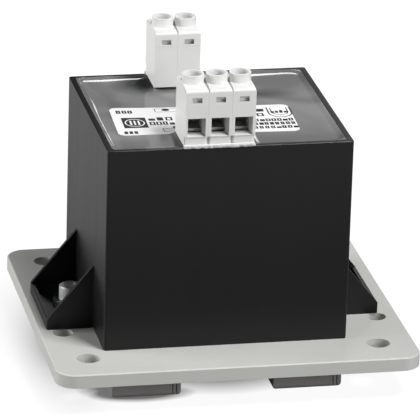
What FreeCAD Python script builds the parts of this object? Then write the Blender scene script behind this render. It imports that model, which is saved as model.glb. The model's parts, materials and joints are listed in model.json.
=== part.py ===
import FreeCAD, Part
import math
import os

from FreeCAD import Vector

# A potted transformer on a plate with two clip-on feet for a 35 mm rail.
# Millimetres, +Z up. The origin is the middle of the plate's outline, on the surface
# that the feet stand on. +X runs along the rail, -Y is the side with the three input poles.

# How far a cut runs past the face that it opens
overcut = 1.0
same_place = 0.000001

# Mounting plate
plate_length = 156.5
plate_depth = 144.0
plate_thickness = 6.0
plate_corner_radius = 8.5
plate_edge_chamfer = 0.5
corner_hole_spacing_x = 125.0
corner_hole_spacing_y = 111.0
corner_hole_diameter = 10.0
inner_hole_spacing_x = 137.0
inner_hole_spacing_y = 53.0
inner_hole_diameter = 8.5
hole_offset_y = 1.0

# Case
case_width = 105.0
case_depth = 95.5
case_height = 89.4
case_wall = 2.6
case_floor = 3.0
case_corner_radius = 1.2
cavity_corner_radius = 2.0
case_offset_x = -2.4
floor_rib_height = 1.5
floor_rib_width = 6.0

# Fixing lugs on the case's two sides
lug_reach = 20.0
lug_width = 44.0
lug_floor = 3.2
lug_lip_height = 4.7
lug_lip_thickness = 1.8
gusset_height = 29.0
gusset_thickness = 1.8
lug_corner_radius = 1.0
boss_diameter = 15.0
boss_height = 5.4
lug_screw_reach = 6.0

# Lug screws, size M6
screw_diameter = 6.0
screw_clearance = 0.3
screw_head_diameter = 10.0
screw_head_height = 6.0
screw_head_chamfer = 0.5
socket_width = 5.0
socket_depth = 3.0
screw_tip_length = 2.0
washer_diameter = 12.0
washer_thickness = 1.6
nut_width = 10.0
nut_height = 5.0

# Rail feet
foot_width = 29.8
foot_length = 107.0
foot_height = 13.8
foot_washer_gap = 2.8
foot_corner_radius = 0.5
foot_edge_radius = 2.0
foot_wall = 2.4
foot_skin = 3.2
foot_rib = 2.0
foot_boss_diameter = 9.0
groove_width = 0.8
groove_depth = 0.5
groove_setback = 2.2

# Rail seat: a 35 mm top-hat rail
rail_width = 35.0
rail_thickness = 1.0
rail_side_play = 0.2
rail_play = 0.4
hook_thickness = 3.0
hook_overlap = 1.8
hook_wall = 3.0

# Sliding latch in each foot
latch_width = 13.6
latch_lift = 0.3
latch_drop = 0.1
latch_gap = 0.25
latch_tail = 6.5
tongue_reach = 1.3
tongue_thickness = 0.8
latch_slope = 1.6
pull_hole_width = 6.0
pull_hole_length = 3.0
horn_thickness = 2.0
horn_width = 6.0
horn_start = 3.6
horn_pin_diameter = 3.0
horn_pin_length = 3.0

# Latch spring
spring_diameter = 5.6
spring_wire = 0.8
spring_length = 12.0
spring_coils = 6
spring_steps = 12
spring_sides = 6
spring_seat_gap = 0.1
spring_pocket_gap = 0.5

# Screws that hold the feet to the plate, size M4 countersunk
foot_screw_diameter = 4.0
foot_screw_head = 7.6
foot_screw_length = 14.0
foot_screw_spacing = 80.0
foot_screw_sink = 0.1
foot_screw_slot_width = 1.0
foot_screw_slot_depth = 0.9
pilot_gap = 0.05
pilot_end_gap = 0.5

# Potting resin
resin_drop = 0.9
resin_edge_drop = 0.15
resin_edge_width = 0.15
meniscus_radius = 2.5
resin_corner_radius = 6.0

# Core: E and I laminations standing upright, the stack runs along Y
core_width = 96.0
leg_width = 32.0
yoke_height = 16.0
window_height = 48.0
stack_depth = 45.0
core_gap = 0.05

# Coil former and windings
former_gap = 0.2
former_wall = 1.2
flange_thickness = 2.0
flange_gap = 0.3
winding_radius = 1.5
primary_build = 5.8
insulation_build = 0.8
secondary_build = 5.2
wrap_build = 0.6

# Thermal fuse and leads
fuse_diameter = 4.0
fuse_length = 11.0
fuse_drop = 12.0
primary_lead_diameter = 1.4
secondary_lead_diameter = 2.4
lead_spread = 6.0
lead_setback = 3.0
lead_end_share = 0.33
lead_bend_share = 0.45
lead_bend_steps = 4
lead_sides = 8
fuse_lead_drop = 6.0

# Terminal poles. Each pole has its own frame: x across, y inward from the case's outer
# face, z up from the case's rim.
pole_pitch = 10.0
pole_gap = 0.04
pole_depth = 20.4
primary_poles = 3
secondary_poles = 2
primary_offset = -5.15
secondary_offset = -8.7
underside_gap = 0.5
face_top = 25.2
side_top = 23.8
shoulder_top = 25.6
shoulder_run = 5.9
side_taper = 0.42
roof_edge_radius = 1.2
rear_step_height = 19.0
rear_step = 0.1
chimney_diameter = 9.2
chimney_bore = 7.6
chimney_top = 29.5
screw_axis = 10.4
collar_thickness = 1.0
sill_height = 4.9
window_top = 13.0
window_width = 7.6
throat_width = 6.4
throat_sill = 5.0
front_wall = 5.8
chamber_width = 8.1
chamber_end = 15.6
block_setback = 0.35
block_width = 9.1
block_depth = 2.6
block_corner_radius = 0.8
seat_flange_height = 1.3
seat_flange_overhang = 0.2
anchor_depth = 7.0
anchor_thickness = 2.2
anchor_width = 7.0
anchor_gap = 0.2
notch_width = 4.2
notch_height = 2.5
notch_bottom = 19.6
notch_back_height = 0.8
notch_depth = 2.1
notch_lip = 0.5
notch_pit_depth = 2.2

# Rising cage, clamp screw and contact strip of a pole
cage_width = 7.4
cage_depth = 7.0
cage_side = 0.7
cage_base = 1.2
cage_nut = 2.6
cage_bottom = 5.1
cage_opening = 8.2
cage_travel = 5.0
cage_top_gap = 0.2
clamp_diameter = 4.0
clamp_running_gap = 0.05
clamp_collar_gap = 0.1
clamp_head_diameter = 6.9
clamp_head_height = 2.2
clamp_seat_gap = 0.1
clamp_slot_width = 1.2
clamp_slot_depth = 1.1
strip_width = 5.4
strip_thickness = 1.0
strip_clearance = 0.2
strip_front_gap = 0.1
strip_rear_gap = 0.1
tail_depth = 9.0

# Label on the resin
label_length = 77.4
label_width = 33.0
label_thickness = 0.15
label_corner_radius = 3.0
label_x = -4.5
label_y = -11.7
label_turn = -2.2

# Levels and places that follow from the sizes
plate_bottom = foot_height
plate_top = plate_bottom + plate_thickness
rim = plate_top + case_height
cavity_floor = plate_top + case_floor
cavity_width = case_width - 2 * case_wall
cavity_depth = case_depth - 2 * case_wall
core_bottom = cavity_floor + floor_rib_height
window_bottom = core_bottom + yoke_height
window_ceiling = window_bottom + window_height
window_breadth = (core_width - 2 * leg_width) / 2
resin_level = rim - resin_drop
rail_half = rail_width / 2 + rail_side_play
seat_level = hook_thickness + rail_thickness + rail_play
lug_screw_x = case_width / 2 + lug_screw_reach
foot_screw_y = foot_screw_spacing / 2
foot_spacing = 2 * (lug_screw_x - washer_diameter / 2 - foot_width / 2 - foot_washer_gap)
former_half_x = leg_width / 2 + former_gap + former_wall
former_half_y = stack_depth / 2 + former_gap + former_wall
winding_build = primary_build + insulation_build + secondary_build + wrap_build
collar_bottom = cage_bottom + cage_base + cage_opening + cage_nut + cage_travel + cage_top_gap
collar_top = collar_bottom + collar_thickness
strip_top = cage_bottom + cage_base + cage_opening - strip_clearance
tail_start = chamber_end - strip_rear_gap - strip_thickness


def box(x0, x1, y0, y1, z0, z1):
    return Part.makeBox(x1 - x0, y1 - y0, z1 - z0, Vector(x0, y0, z0))


def centred_box(width, depth, z0, z1, x=0.0, y=0.0):
    return box(x - width / 2, x + width / 2, y - depth / 2, y + depth / 2, z0, z1)


def rod(diameter, z0, z1, x=0.0, y=0.0):
    return Part.makeCylinder(diameter / 2, z1 - z0, Vector(x, y, z0))


def upright_edges(shape):
    return [e for e in shape.Edges if len(e.Vertexes) == 2 and
            abs(e.Vertexes[0].Z - e.Vertexes[1].Z) > 0.99 * e.Length]


def edges_at(shape, z):
    return [e for e in shape.Edges if all(abs(v.Z - z) < same_place for v in e.Vertexes)]


def rounded_box(width, depth, z0, z1, radius, x=0.0, y=0.0):
    blank = centred_box(width, depth, z0, z1, x, y)
    return blank.makeFillet(radius, upright_edges(blank))


def side_profile(points, x0, x1):
    """A solid with an outline of (y, z) points, from x0 to x1."""
    corners = [Vector(x0, y, z) for y, z in points]
    face = Part.Face(Part.makePolygon(corners + corners[:1]))
    return face.extrude(Vector(x1 - x0, 0, 0))


def front_profile(points, y0, y1):
    """A solid with an outline of (x, z) points, from y0 to y1."""
    corners = [Vector(x, y0, z) for x, z in points]
    face = Part.Face(Part.makePolygon(corners + corners[:1]))
    return face.extrude(Vector(0, y1 - y0, 0))


def hexagon(width, z0, z1, x=0.0, y=0.0):
    radius = width / math.sqrt(3)
    corners = [Vector(x + radius * math.cos(math.radians(60 * i)),
                      y + radius * math.sin(math.radians(60 * i)), z0) for i in range(6)]
    return Part.Face(Part.makePolygon(corners + corners[:1])).extrude(Vector(0, 0, z1 - z0))


def swept(points, diameter, sides):
    """A wire with a section of even sides along a chain of points, its corners mitred."""
    start = Part.Circle(points[0], points[1] - points[0], diameter / 2)
    corners = [start.value(2 * math.pi * i / sides) for i in range(sides)]
    section = Part.makePolygon(corners + corners[:1])
    return Part.makePolygon(points).makePipeShell([section], True, False, 1)


def bent(corners):
    """The chain of points of a wire that goes round each inner corner in short steps."""
    path = [corners[0]]
    for before, corner, after in zip(corners, corners[1:], corners[2:]):
        cut = lead_bend_share * min((corner - before).Length, (after - corner).Length)
        first = corner + (before - corner).normalize() * cut
        last = corner + (after - corner).normalize() * cut
        for step in range(lead_bend_steps + 1):
            share = step / lead_bend_steps
            path.append(first * (1 - share) ** 2 + corner * (2 * share * (1 - share)) + last * share ** 2)
    return path + [corners[-1]]


def lead(corners, diameter):
    return swept(bent(corners), diameter, lead_sides)


def joined(shapes):
    return shapes[0].fuse(shapes[1:]).removeSplitter()


def save(node, shape):
    if not shape.isValid():
        raise ValueError(node + " is not a valid solid")
    shape.exportStep("parts/" + node + ".step")


def lug(side):
    """One fixing lug of the case, on side -1 or +1, beside the case's wall."""
    wall = side * case_width / 2
    outer = wall + side * lug_reach
    root = wall - side * case_wall / 2
    near, far = min(root, outer), max(root, outer)
    pad = box(near, far, -lug_width / 2, lug_width / 2, 0, lug_floor)
    lip_inner = outer - side * lug_lip_thickness
    lip = box(min(outer, lip_inner), max(outer, lip_inner), -lug_width / 2, lug_width / 2,
              0, lug_lip_height)
    outline = [(root, 0), (outer, 0), (outer, lug_lip_height), (wall, gusset_height),
               (root, gusset_height)]
    gussets = [front_profile(outline, -lug_width / 2, -lug_width / 2 + gusset_thickness),
               front_profile(outline, lug_width / 2 - gusset_thickness, lug_width / 2)]
    boss = rod(boss_diameter, 0, boss_height, side * lug_screw_x)
    body = joined([pad, lip, boss] + gussets)
    corners = [e for e in upright_edges(body) if abs(e.Vertexes[0].X - outer) < same_place
               and abs(abs(e.Vertexes[0].Y) - lug_width / 2) < same_place]
    return body.makeFillet(lug_corner_radius, corners)


def make_cavity():
    return rounded_box(cavity_width, cavity_depth, cavity_floor, rim, cavity_corner_radius,
                       case_offset_x)


def make_case():
    shell = rounded_box(case_width, case_depth, 0, case_height, case_corner_radius)
    shell = joined([shell, lug(-1), lug(1)])
    for side in (-1, 1):
        hole = rod(screw_diameter + 2 * screw_clearance, -overcut, boss_height + overcut,
                   side * lug_screw_x)
        shell = shell.cut(hole)
    shell.translate(Vector(case_offset_x, 0, plate_top))
    shell = shell.cut(make_cavity())
    outer_leg = (core_width - window_breadth) / 2
    ribs = [centred_box(floor_rib_width, stack_depth, cavity_floor, core_bottom,
                        case_offset_x + side * outer_leg) for side in (-1, 1)]
    return joined([shell] + ribs)


def make_plate():
    plate = rounded_box(plate_length, plate_depth, plate_bottom, plate_top, plate_corner_radius)
    plate = plate.makeChamfer(plate_edge_chamfer, edges_at(plate, plate_top))
    patterns = [(corner_hole_spacing_x, corner_hole_spacing_y, corner_hole_diameter),
                (inner_hole_spacing_x, inner_hole_spacing_y, inner_hole_diameter)]
    low = plate_bottom - overcut
    high = plate_top + overcut
    holes = [rod(diameter, low, high, sx * across / 2, hole_offset_y + sy * along / 2)
             for across, along, diameter in patterns for sx in (-1, 1) for sy in (-1, 1)]
    for side in (-1, 1):
        holes.append(rod(screw_diameter + 2 * screw_clearance, low, high,
                         case_offset_x + side * lug_screw_x))
    for x, y in foot_screw_places():
        holes.append(foot_screw_blank(screw_clearance, 0).translated(Vector(x, y, 0)))
    return plate.cut(holes)


def foot_places():
    return [case_offset_x + side * foot_spacing / 2 for side in (-1, 1)]


def foot_screw_places():
    return [(x, side * foot_screw_y) for x in foot_places() for side in (-1, 1)]


def foot_screw_blank(clearance, sink):
    """A countersunk screw, its head's face at the plate's top less the sink."""
    top = plate_top - sink
    radius = foot_screw_diameter / 2 + clearance
    head = foot_screw_head / 2 + clearance
    cone = Part.makeCone(radius, head, head - radius, Vector(0, 0, top - (head - radius)))
    shank = rod(2 * radius, top - foot_screw_length, top - (head - radius))
    return joined([shank, cone])


def make_foot_screws():
    blank = foot_screw_blank(0, foot_screw_sink)
    slot = centred_box(foot_screw_head * 2, foot_screw_slot_width,
                       plate_top - foot_screw_sink - foot_screw_slot_depth, plate_top)
    blank = blank.cut(slot)
    return Part.makeCompound([blank.translated(Vector(x, y, 0)) for x, y in foot_screw_places()])


def make_lug_fasteners():
    """Screws, washers and nuts of the two lugs, each kind as one group."""
    head_bottom = plate_top + boss_height
    head_top = head_bottom + screw_head_height
    nut_top = plate_bottom - washer_thickness
    nut_bottom = nut_top - nut_height
    head = rod(screw_head_diameter, head_bottom, head_top)
    head = head.makeChamfer(screw_head_chamfer, edges_at(head, head_top))
    head = head.cut(hexagon(socket_width, head_top - socket_depth, head_top + overcut))
    shank = rod(screw_diameter, nut_bottom - screw_tip_length, head_bottom)
    screw = joined([head, shank])
    bore = rod(screw_diameter + 2 * screw_clearance, 0, rim)
    washer = rod(washer_diameter, nut_top, plate_bottom).cut(bore)
    nut = hexagon(nut_width, nut_bottom, nut_top).cut(rod(screw_diameter, 0, rim))
    groups = {"lug_screws": [screw], "lug_washers": [washer], "lug_nuts": [nut]}
    places = [Vector(case_offset_x + side * lug_screw_x, 0, 0) for side in (-1, 1)]
    return {name: Part.makeCompound([s.translated(p) for s in shapes for p in places])
            for name, shapes in groups.items()}


def spring_pocket():
    """Where the latch spring lies in a foot: its start, its end, and its axis height."""
    start = rail_half + horn_start
    end = start + horn_thickness + spring_length + 2 * spring_seat_gap
    height = hook_thickness + spring_pocket_gap + spring_diameter / 2
    return start, end, height


def make_foot():
    rear = foot_length / 2
    foot = rounded_box(foot_width, foot_length, 0, foot_height, foot_corner_radius)
    left_edge = [e for e in foot.Edges if abs(e.BoundBox.XMin + foot_width / 2) < same_place
                 and abs(e.BoundBox.XMax + foot_width / 2) < same_place and e.BoundBox.ZMax < same_place]
    foot = foot.makeFillet(foot_edge_radius, left_edge)
    over = foot_width
    cuts = [box(-over, over, -rail_half, rail_half, hook_thickness, seat_level),
            box(-over, over, -(rail_half - hook_overlap), rail_half, -overcut, hook_thickness)]

    slot = latch_width / 2 + latch_gap
    tongue = slot + tongue_reach
    middle = hook_thickness / 2
    half_tongue = tongue_thickness / 2 + latch_gap
    near = rail_half - overcut
    far = rear + overcut
    cuts.append(box(-slot, slot, near, far, -overcut, hook_thickness + latch_gap))
    cuts.append(box(-tongue, tongue, near, far, middle - half_tongue, middle + half_tongue))
    start, end, height = spring_pocket()
    pocket = spring_diameter / 2 + spring_pocket_gap
    cuts.append(box(-pocket, pocket, start - spring_pocket_gap, end, middle, height + pocket))

    pocket_back = -(rail_half + hook_wall)
    pocket_front = -(rear - foot_wall)
    for side in (-1, 1):
        inner = side * foot_rib / 2
        outer = side * (foot_width / 2 - foot_wall)
        cuts.append(box(min(inner, outer), max(inner, outer), pocket_front, pocket_back,
                        -overcut, foot_height - foot_skin))
    groove_x = foot_width / 2 - groove_setback
    for x in (groove_x, groove_x - 2 * groove_width):
        cuts.append(box(x - groove_width / 2, x + groove_width / 2, -rear - overcut,
                        -rear + groove_depth, -overcut, foot_height + overcut))
    foot = foot.cut(cuts)

    boss = rod(foot_boss_diameter, hook_thickness, foot_height, 0, -foot_screw_y)
    foot = joined([foot, boss])
    tip = plate_top - foot_screw_sink - foot_screw_length - pilot_end_gap
    pilots = [rod(foot_screw_diameter + 2 * pilot_gap, tip, foot_height + overcut, 0,
                  side * foot_screw_y)
              for side in (-1, 1)]
    return foot.cut(pilots)


def make_latch():
    """The latch at rest, its hook under the rail's rear edge."""
    rear = foot_length / 2 + latch_tail
    tip = rail_half - hook_overlap
    top = hook_thickness - latch_drop
    half = latch_width / 2
    outline = [(tip + latch_slope, latch_lift), (rear, latch_lift), (rear, top), (tip, top),
               (tip, latch_lift + latch_slope)]
    bar = side_profile(outline, -half, half)
    middle = hook_thickness / 2
    tongue = half + tongue_reach
    rails = box(-tongue, tongue, rail_half + latch_gap, foot_length / 2,
                middle - tongue_thickness / 2, middle + tongue_thickness / 2)
    start, end, height = spring_pocket()
    horn = box(-horn_width / 2, horn_width / 2, start, start + horn_thickness, middle,
               height + horn_width / 2)
    pin = Part.makeCylinder(horn_pin_diameter / 2, horn_thickness / 2 + horn_pin_length,
                            Vector(0, start + horn_thickness / 2, height), Vector(0, 1, 0))
    hole_y = foot_length / 2 + latch_tail / 2
    pull_hole = centred_box(pull_hole_width, pull_hole_length, -overcut, foot_height, 0, hole_y)
    return joined([bar, rails, horn, pin]).cut(pull_hole)


def make_spring():
    """A compression spring along Y, between the latch's horn and the pocket's end."""
    start, _, height = spring_pocket()
    first = start + horn_thickness + spring_seat_gap + spring_wire / 2
    radius = (spring_diameter - spring_wire) / 2
    steps = spring_coils * spring_steps
    rise = (spring_length - spring_wire) / steps
    points = []
    for step in range(steps + 1):
        turn = 2 * math.pi * step / spring_steps
        points.append(Vector(radius * math.cos(turn), first + rise * step,
                             height + radius * math.sin(turn)))
    return swept(points, spring_wire, spring_sides)


def make_core():
    """The E laminations with their legs up, and the I laminations across the top."""
    half = stack_depth / 2
    side = core_width / 2
    block = box(-side, side, -half, half, core_bottom, window_ceiling)
    windows = [box(min(s * leg_width / 2, s * (leg_width / 2 + window_breadth)),
                   max(s * leg_width / 2, s * (leg_width / 2 + window_breadth)),
                   -half - overcut, half + overcut, window_bottom, window_ceiling + overcut)
               for s in (-1, 1)]
    bars = box(-side, side, -half, half, window_ceiling + core_gap,
               window_ceiling + core_gap + yoke_height)
    return block.cut(windows), bars


def make_former():
    low = window_bottom + flange_gap
    high = window_ceiling - flange_gap
    outer_x = 2 * (former_half_x + winding_build)
    outer_y = 2 * (former_half_y + winding_build)
    body = rounded_box(2 * former_half_x, 2 * former_half_y, low, high, winding_radius)
    flanges = [rounded_box(outer_x, outer_y, low, low + flange_thickness, winding_radius),
               rounded_box(outer_x, outer_y, high - flange_thickness, high, winding_radius)]
    bore = centred_box(leg_width + 2 * former_gap, stack_depth + 2 * former_gap, low - overcut,
                       high + overcut)
    return joined([body] + flanges).cut(bore)


def make_layers():
    """Primary, insulation, secondary and outer wrap, one ring outside the other."""
    low = window_bottom + flange_gap + flange_thickness
    high = window_ceiling - flange_gap - flange_thickness
    layers = {}
    offset = 0.0
    inner = rounded_box(2 * former_half_x, 2 * former_half_y, low, high, winding_radius)
    for name, build in (("primary_winding", primary_build), ("winding_insulation", insulation_build),
                        ("secondary_winding", secondary_build), ("outer_wrap", wrap_build)):
        offset += build
        outer = rounded_box(2 * (former_half_x + offset), 2 * (former_half_y + offset), low, high,
                            winding_radius + offset)
        layers[name] = outer.cut(inner)
        inner = outer
    return layers


def pole_places(count, offset):
    first = case_offset_x + offset - (count - 1) * pole_pitch / 2
    return [first + i * pole_pitch for i in range(count)]


def at_front(shape, x):
    return shape.translated(Vector(x, -case_depth / 2, rim))


def at_back(shape, x):
    turned = shape.copy()
    turned.rotate(Vector(0, 0, 0), Vector(0, 0, 1), 180)
    return turned.translated(Vector(x, case_depth / 2, rim))


def pole_housing():
    """One pole's housing: a tall block with a sloped roof, a screw chimney and a wire funnel."""
    half = pole_pitch / 2 - pole_gap / 2
    outline = [(block_depth, underside_gap), (pole_depth - rear_step, underside_gap),
               (pole_depth - rear_step, rear_step_height), (pole_depth, rear_step_height),
               (pole_depth, face_top), (pole_depth - shoulder_run, shoulder_top),
               (shoulder_run, shoulder_top), (0, face_top), (0, sill_height),
               (block_depth, sill_height)]
    body = side_profile(outline, -half, half)
    body = body.makeFillet(roof_edge_radius, [e for e in edges_at(body, face_top)
                                              if e.BoundBox.XLength > half])
    top = shoulder_top + overcut
    rise = (top - side_top) / (shoulder_top - side_top) * side_taper
    for side in (-1, 1):
        outside = side * (half + overcut)
        wedge = [(side * half, side_top), (outside, side_top), (outside, top),
                 (side * (half - rise), top)]
        body = body.cut(front_profile(wedge, -overcut, pole_depth + overcut))

    wall = case_wall
    lower = rounded_box(block_width, block_depth + block_corner_radius, underside_gap, sill_height,
                        block_corner_radius, 0, block_setback + (block_depth + block_corner_radius) / 2)
    flange = box(-half, half, -seat_flange_overhang, wall, 0, seat_flange_height)
    anchor = box(-anchor_width / 2, anchor_width / 2, wall + anchor_gap,
                 wall + anchor_gap + anchor_thickness, -anchor_depth, sill_height)
    bridge = box(-half, half, wall - overcut, front_wall, underside_gap, sill_height)
    chimney = rod(chimney_diameter, side_top, chimney_top, 0, screw_axis)
    body = joined([body, lower, flange, anchor, bridge, chimney])

    chamber = box(-chamber_width / 2, chamber_width / 2, front_wall, chamber_end, -overcut,
                  collar_bottom)
    bore = rod(chimney_bore, collar_top, chimney_top + overcut, 0, screw_axis)
    shank_hole = rod(clamp_diameter + 2 * clamp_collar_gap, collar_bottom - overcut,
                     collar_top + overcut, 0, screw_axis)
    return body.cut([chamber, bore, shank_hole, wire_funnel()] + face_notches())


def wire_funnel():
    """The wire entry, wide at the front face and narrow at the cage."""
    outer, inner = window_width / 2, throat_width / 2
    mouth = [Vector(-outer, 0, sill_height), Vector(outer, 0, sill_height),
             Vector(outer, 0, window_top), Vector(-outer, 0, window_top)]
    throat = [Vector(-inner, front_wall, throat_sill), Vector(inner, front_wall, throat_sill),
              Vector(inner, front_wall, window_top), Vector(-inner, front_wall, window_top)]
    funnel = Part.makeLoft([Part.makePolygon(mouth + mouth[:1]),
                            Part.makePolygon(throat + throat[:1])], True, True)
    return funnel


def face_notches():
    """The small slot near the top of the front face and of the rear face, deeper behind its lip."""
    notches = []
    for face, inward in ((0.0, 1), (pole_depth, -1)):
        lip = face + inward * notch_lip
        back = face + inward * notch_depth
        outline = [(face, notch_bottom), (face, notch_bottom + notch_height),
                   (back, notch_bottom + notch_back_height), (back, notch_bottom - notch_pit_depth),
                   (lip, notch_bottom - notch_pit_depth), (lip, notch_bottom)]
        notches.append(side_profile(outline, -notch_width / 2, notch_width / 2))
    return notches


def pole_cage():
    """The cage in its open place: a loop of strip with a threaded block on top."""
    top = cage_bottom + cage_base + cage_opening + cage_nut
    body = centred_box(cage_width, cage_depth, cage_bottom, top, 0, screw_axis)
    body = body.makeFillet(cage_side, [e for e in edges_at(body, cage_bottom)
                                       if e.BoundBox.YLength > cage_depth / 2])
    low = cage_bottom + cage_base
    opening = centred_box(cage_width - 2 * cage_side, cage_depth + 2 * overcut, low,
                          low + cage_opening, 0, screw_axis)
    hole = rod(clamp_diameter + 2 * clamp_running_gap, low + overcut, top + overcut, 0, screw_axis)
    return body.cut([opening, hole])


def pole_screw():
    seat = collar_top + clamp_seat_gap
    head = rod(clamp_head_diameter, seat, seat + clamp_head_height, 0, screw_axis)
    shank = rod(clamp_diameter, strip_top + clamp_seat_gap, seat, 0, screw_axis)
    top = seat + clamp_head_height
    slot = centred_box(clamp_head_diameter + overcut, clamp_slot_width, top - clamp_slot_depth,
                       top + overcut, 0, screw_axis)
    return joined([head, shank]).cut(slot)


def pole_strip():
    """The contact strip: flat over the wire's place, then down into the resin."""
    half = strip_width / 2
    bottom = strip_top - strip_thickness
    outline = [(front_wall + strip_front_gap, bottom), (tail_start, bottom),
               (tail_start, -tail_depth), (tail_start + strip_thickness, -tail_depth),
               (tail_start + strip_thickness, strip_top), (front_wall + strip_front_gap, strip_top)]
    return side_profile(outline, -half, half)


def make_leads():
    """Insulated wires from the coil former's top flange to the strips' lower ends."""
    top = rim - tail_depth
    flange_top = window_ceiling - flange_gap
    tail_y = case_depth / 2 - tail_start - strip_thickness / 2
    coil_x = case_offset_x
    bend = lead_end_share * (top - flange_top)
    flange_y = former_half_y + winding_build - lead_setback
    leads = {"primary_leads": [], "secondary_leads": []}

    poles = pole_places(primary_poles, primary_offset)
    fuse_x = poles[0]
    fuse_y = -(former_half_y + winding_build + fuse_diameter / 2)
    fuse_top = flange_top - fuse_drop
    fuse_bottom = fuse_top - fuse_length
    leads["primary_leads"].append(lead([
        Vector(fuse_x, -tail_y, top), Vector(fuse_x, -tail_y, top - bend),
        Vector(fuse_x, fuse_y, flange_top), Vector(fuse_x, fuse_y, fuse_top)],
        primary_lead_diameter))
    leads["primary_leads"].append(lead([
        Vector(fuse_x, fuse_y, fuse_bottom), Vector(fuse_x, fuse_y, fuse_bottom - fuse_lead_drop),
        Vector(fuse_x, fuse_y + fuse_diameter / 2, fuse_bottom - fuse_lead_drop)],
        primary_lead_diameter))
    for i, x in enumerate(poles[1:]):
        end_x = coil_x + (i - 0.5) * lead_spread
        leads["primary_leads"].append(lead([
            Vector(x, -tail_y, top), Vector(x, -tail_y, top - bend),
            Vector(end_x, -flange_y, flange_top + bend), Vector(end_x, -flange_y, flange_top)],
            primary_lead_diameter))
    for i, x in enumerate(pole_places(secondary_poles, secondary_offset)):
        end_x = coil_x + (i - 1) * lead_spread
        leads["secondary_leads"].append(lead([
            Vector(x, tail_y, top), Vector(x, tail_y, top - bend),
            Vector(end_x, flange_y, flange_top + bend), Vector(end_x, flange_y, flange_top)],
            secondary_lead_diameter))
    fuse = rod(fuse_diameter, fuse_bottom, fuse_top, fuse_x, fuse_y)
    return leads, fuse


def make_resin(embedded):
    """The poured resin: what the pieces leave free in the case, with a raised edge."""
    blank = make_cavity()
    blank = blank.cut(centred_box(case_width, case_depth, rim - resin_edge_drop, rim + overcut,
                                  case_offset_x))
    pan = rounded_box(cavity_width - 2 * resin_edge_width, cavity_depth - 2 * resin_edge_width,
                      resin_level, resin_level + 2 * meniscus_radius, resin_corner_radius,
                      case_offset_x)
    pan = pan.makeFillet(meniscus_radius, edges_at(pan, resin_level))
    return blank.cut([pan] + embedded)


def make_label():
    label = rounded_box(label_length, label_width, 0, label_thickness, label_corner_radius)
    label.rotate(Vector(0, 0, 0), Vector(0, 0, 1), label_turn)
    return label.translated(Vector(case_offset_x + label_x, label_y, resin_level))


def main():
    os.makedirs("parts", exist_ok=True)
    save("mounting_plate", make_plate())
    case = make_case()
    save("case", case)
    for node, group in make_lug_fasteners().items():
        save(node, group)
    save("foot_screws", make_foot_screws())
    foot, latch, spring = make_foot(), make_latch(), make_spring()
    for name, x in zip(("left", "right"), foot_places()):
        save("rail_foot_" + name, foot.translated(Vector(x, 0, 0)))
        save("rail_latch_" + name, latch.translated(Vector(x, 0, 0)))
        save("latch_spring_" + name, spring.translated(Vector(x, 0, 0)))

    middle = Vector(case_offset_x, 0, 0)
    e_core, i_core = make_core()
    coil = {"e_core": e_core, "i_core": i_core, "coil_former": make_former(), **make_layers()}
    coil = {node: shape.translated(middle) for node, shape in coil.items()}
    leads, fuse = make_leads()
    inner = {**coil, "thermal_fuse": fuse}
    for node, wires in leads.items():
        inner[node] = Part.makeCompound(wires)
    for node, shape in inner.items():
        save(node, shape)

    pieces = {"terminal_housing": pole_housing(), "clamp_cage": pole_cage(),
              "clamp_screw": pole_screw(), "contact_strip": pole_strip()}
    embedded = [case] + list(coil.values()) + [fuse] + [w for group in leads.values() for w in group]
    sides = (("in", at_front, pole_places(primary_poles, primary_offset)),
             ("out", at_back, pole_places(secondary_poles, secondary_offset)))
    for side, place, xs in sides:
        for number, x in enumerate(xs, 1):
            for piece, shape in pieces.items():
                placed = place(shape, x)
                save("%s_%s_%d" % (piece, side, number), placed)
                if piece in ("terminal_housing", "contact_strip"):
                    embedded.append(placed)
    save("potting_resin", make_resin(embedded))
    save("rating_label", make_label())


main()
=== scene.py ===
import bpy
import json
import math
import random
from mathutils import Matrix, Vector


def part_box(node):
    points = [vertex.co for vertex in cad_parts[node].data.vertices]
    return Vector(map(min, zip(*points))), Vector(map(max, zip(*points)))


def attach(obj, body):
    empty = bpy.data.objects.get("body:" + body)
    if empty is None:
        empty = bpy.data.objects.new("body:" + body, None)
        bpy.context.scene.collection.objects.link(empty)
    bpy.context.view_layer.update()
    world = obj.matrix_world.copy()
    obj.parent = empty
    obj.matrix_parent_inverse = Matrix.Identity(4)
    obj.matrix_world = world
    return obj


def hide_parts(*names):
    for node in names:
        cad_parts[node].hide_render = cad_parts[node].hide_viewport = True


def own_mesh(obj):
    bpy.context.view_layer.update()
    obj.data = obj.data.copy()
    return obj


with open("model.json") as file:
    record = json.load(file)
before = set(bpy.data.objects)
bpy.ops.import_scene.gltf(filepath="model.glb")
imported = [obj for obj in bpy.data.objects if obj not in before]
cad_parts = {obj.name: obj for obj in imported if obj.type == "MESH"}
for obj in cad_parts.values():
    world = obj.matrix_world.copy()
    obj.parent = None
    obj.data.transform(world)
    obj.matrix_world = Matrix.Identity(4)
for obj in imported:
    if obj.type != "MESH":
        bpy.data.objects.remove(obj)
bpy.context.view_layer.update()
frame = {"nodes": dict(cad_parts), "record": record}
nodes = frame["nodes"]
print("frame loaded:", len(nodes), "nodes")


# Sizes are in millimetres, and mm() turns them into Blender's metres.

def mm(*values):
    sizes = [value / 1000 for value in values]
    return sizes[0] if len(sizes) == 1 else Vector(sizes)


def boxInMm(nodeName):
    return [corner * 1000 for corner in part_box(nodeName)]


def linearColour(code):
    channels = [int(code[i:i + 2], 16) / 255 for i in (1, 3, 5)]
    return [c / 12.92 if c <= 0.04045 else ((c + 0.055) / 1.055) ** 2.4 for c in channels] + [1.0]


def addNode(tree, kind, settings=None, links=None):
    node = tree.nodes.new(kind)
    for key, value in (settings or {}).items():
        if isinstance(key, int) or key in node.inputs:
            node.inputs[key].default_value = value
        else:
            setattr(node, key, value)
    for key, socket in (links or {}).items():
        tree.links.new(socket, node.inputs[key])
    return node


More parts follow.
